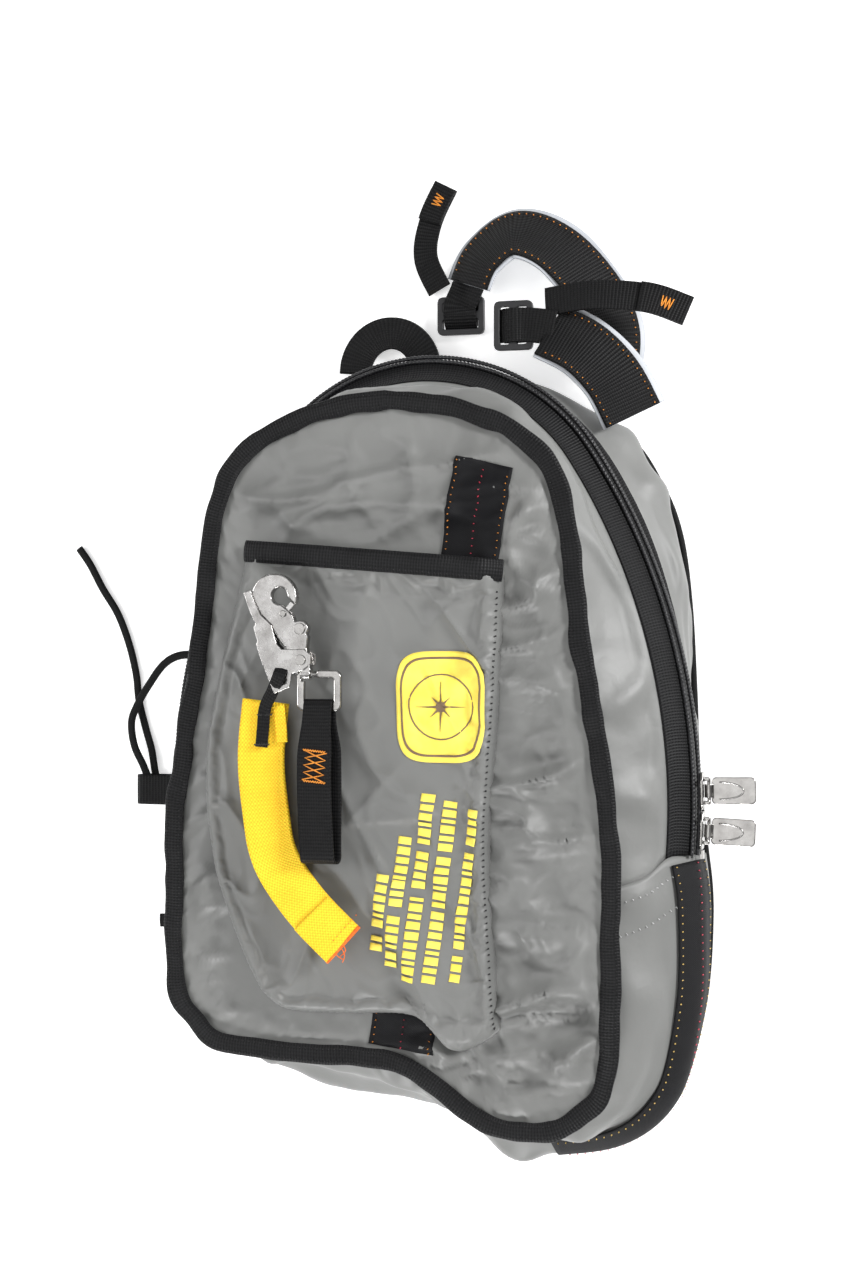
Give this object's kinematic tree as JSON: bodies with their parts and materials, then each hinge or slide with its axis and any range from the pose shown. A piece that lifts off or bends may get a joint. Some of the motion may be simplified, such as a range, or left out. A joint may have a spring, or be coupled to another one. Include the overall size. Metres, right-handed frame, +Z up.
{
  "type": "flight bag",
  "caption": "Slim arched nylon flight bag lying on its back: zipped front flap, patch pocket, release hook on a webbing sling with pull tab, shoulder straps.",
  "frame": {"origin": "middle of the flat back face that the bag lies on, at the level of the surface", "axes": "+Z up out of the front panel, +Y towards the top of the bag, +X towards its right-hand side as seen from the front"},
  "size_m": [0.4547, 0.5995, 0.1257],
  "materials": {
    "nylon": "thin coated plain-weave nylon, grey, slightly shiny and creased",
    "lining": "light grey thin nylon lining",
    "foam": "closed-cell foam, matte",
    "webbing": "black woven webbing and tape with orange stitching",
    "coil": "black moulded zip coil",
    "nickel": "nickel-plated steel, satin and slightly worn",
    "yellow_patch": "yellow woven or rubberised patch",
    "orange_webbing": "orange-yellow basket-weave webbing",
    "plastic": "black moulded acetal"
  },
  "bodies": {
    "shell": {"back_cover": "nylon", "back_foam": "foam", "inner_liner": "lining", "rear_piping": "webbing", "rear_gusset": "nylon", "lower_gusset": "nylon", "side_stripe_right": "webbing", "side_stripe_left": "webbing", "rear_zip_tape": "webbing", "rear_coil": "coil", "zip_stop_right": "nickel", "zip_stop_left": "nickel", "side_loop": "webbing", "lower_tab": "webbing", "tie_tape_free": "webbing", "tie_tape_side": "webbing"},
    "flap": {"front_panel": "nylon", "front_binding": "webbing", "front_gusset": "nylon", "front_zip_tape": "webbing", "front_coil": "coil", "front_stripe": "webbing", "front_pocket": "nylon", "pocket_binding": "webbing", "emblem_patch": "yellow_patch"},
    "slider_lower": {"zip_slider_lower": "nickel"},
    "pull_lower": {"zip_pull_lower": "nickel"},
    "slider_upper": {"zip_slider_upper": "nickel"},
    "pull_upper": {"zip_pull_upper": "nickel"},
    "sling_loop": {"sling": "webbing"},
    "link": {"square_link": "nickel"},
    "hook": {"hook_body": "nickel", "keeper_pin": "nickel", "boss_rivet": "nickel", "lever_pin": "nickel"},
    "gate": {"keeper": "nickel"},
    "lever": {"release_lever": "nickel", "lever_spring": "nickel"},
    "tab": {"pull_tab": "orange_webbing", "tab_strip": "webbing"},
    "handle": {"grab_handle": "webbing"},
    "strap_left": {"shoulder_strap_left": "webbing", "ladder_lock_left": "plastic"},
    "tail_left": {"webbing_tail_left": "webbing"},
    "strap_right": {"shoulder_strap_right": "webbing", "ladder_lock_right": "plastic"},
    "tail_right": {"webbing_tail_right": "webbing"}
  },
  "joints": [
    {"name": "flap_opening", "type": "hinge", "parent": "shell", "child": "flap", "pos_m": [-0.015, -0.212, 0.091], "axis": [1, 0, 0], "range_deg": [0, 25]},
    {"name": "lower_slider_travel", "type": "hinge", "parent": "shell", "child": "slider_lower", "pos_m": [-0.225, -0.016, 0.052], "axis": [0, 0, 1], "range_deg": [0, 8]},
    {"name": "upper_slider_travel", "type": "hinge", "parent": "slider_lower", "child": "slider_upper", "pos_m": [-0.225, -0.016, 0.052], "axis": [0, 0, 1], "range_deg": [0, 22]},
    {"name": "lower_pull_lift", "type": "hinge", "parent": "slider_lower", "child": "pull_lower", "pos_m": [0.17008, -0.03187, 0.052], "axis": [-0.0401, -0.9992, 0], "range_deg": [0, 90]},
    {"name": "upper_pull_lift", "type": "hinge", "parent": "slider_upper", "child": "pull_upper", "pos_m": [0.17033, -0.00841, 0.052], "axis": [0.0192, -0.9998, 0], "range_deg": [0, 90]},
    {"name": "sling_lift", "type": "hinge", "parent": "flap", "child": "sling_loop", "pos_m": [-0.048, -0.046, 0.1183], "axis": [1, 0, 0], "range_deg": [0, 100]},
    {"name": "link_tilt", "type": "hinge", "parent": "sling_loop", "child": "link", "pos_m": [-0.048, 0.041, 0.1183], "axis": [1, 0, 0], "range_deg": [0, 20]},
    {"name": "hook_lift", "type": "hinge", "parent": "link", "child": "hook", "pos_m": [-0.056, 0.06, 0.1183], "axis": [1, 0, 0], "range_deg": [0, 20]},
    {"name": "keeper_swing", "type": "hinge", "parent": "hook", "child": "gate", "pos_m": [-0.06962, 0.09548, 0.1183], "axis": [0, 0, 1], "range_deg": [0, 40], "stiffness_Nm_per_rad": 0.01},
    {"name": "lever_release", "type": "hinge", "parent": "hook", "child": "lever", "pos_m": [-0.05811, 0.06829, 0.1183], "axis": [0, 0, 1], "range_deg": [0, 8], "stiffness_Nm_per_rad": 0.05, "deforming": ["pull_tab", "tab_strip"]},
    {"name": "tab_lift", "type": "hinge", "parent": "lever", "child": "tab", "pos_m": [-0.06957, 0.05211, 0.1226], "axis": [-0.9336, -0.3584, 0], "range_deg": [0, 90]},
    {"name": "handle_lift", "type": "hinge", "parent": "shell", "child": "handle", "pos_m": [-0.037, 0.249, 0.0042], "axis": [1, 0, 0], "range_deg": [0, 80]},
    {"name": "left_strap_swing", "type": "hinge", "parent": "shell", "child": "strap_left", "pos_m": [0.103, 0.249, 0.0116], "axis": [0, 0, 1], "range_deg": [-45, 0]},
    {"name": "left_tail_lift", "type": "hinge", "parent": "strap_left", "child": "tail_left", "pos_m": [-0.006, 0.301, 0.004], "axis": [0.9285, 0.3714, 0], "range_deg": [0, 80]},
    {"name": "right_strap_lift", "type": "hinge", "parent": "shell", "child": "strap_right", "pos_m": [0.122, 0.214, 0.036], "axis": [0.8775, 0.4796, 0], "range_deg": [0, 60]},
    {"name": "right_tail_lift", "type": "hinge", "parent": "strap_right", "child": "tail_right", "pos_m": [0.07, 0.284, 0.04], "axis": [0.0995, -0.995, 0], "range_deg": [0, 60]}
  ]
}
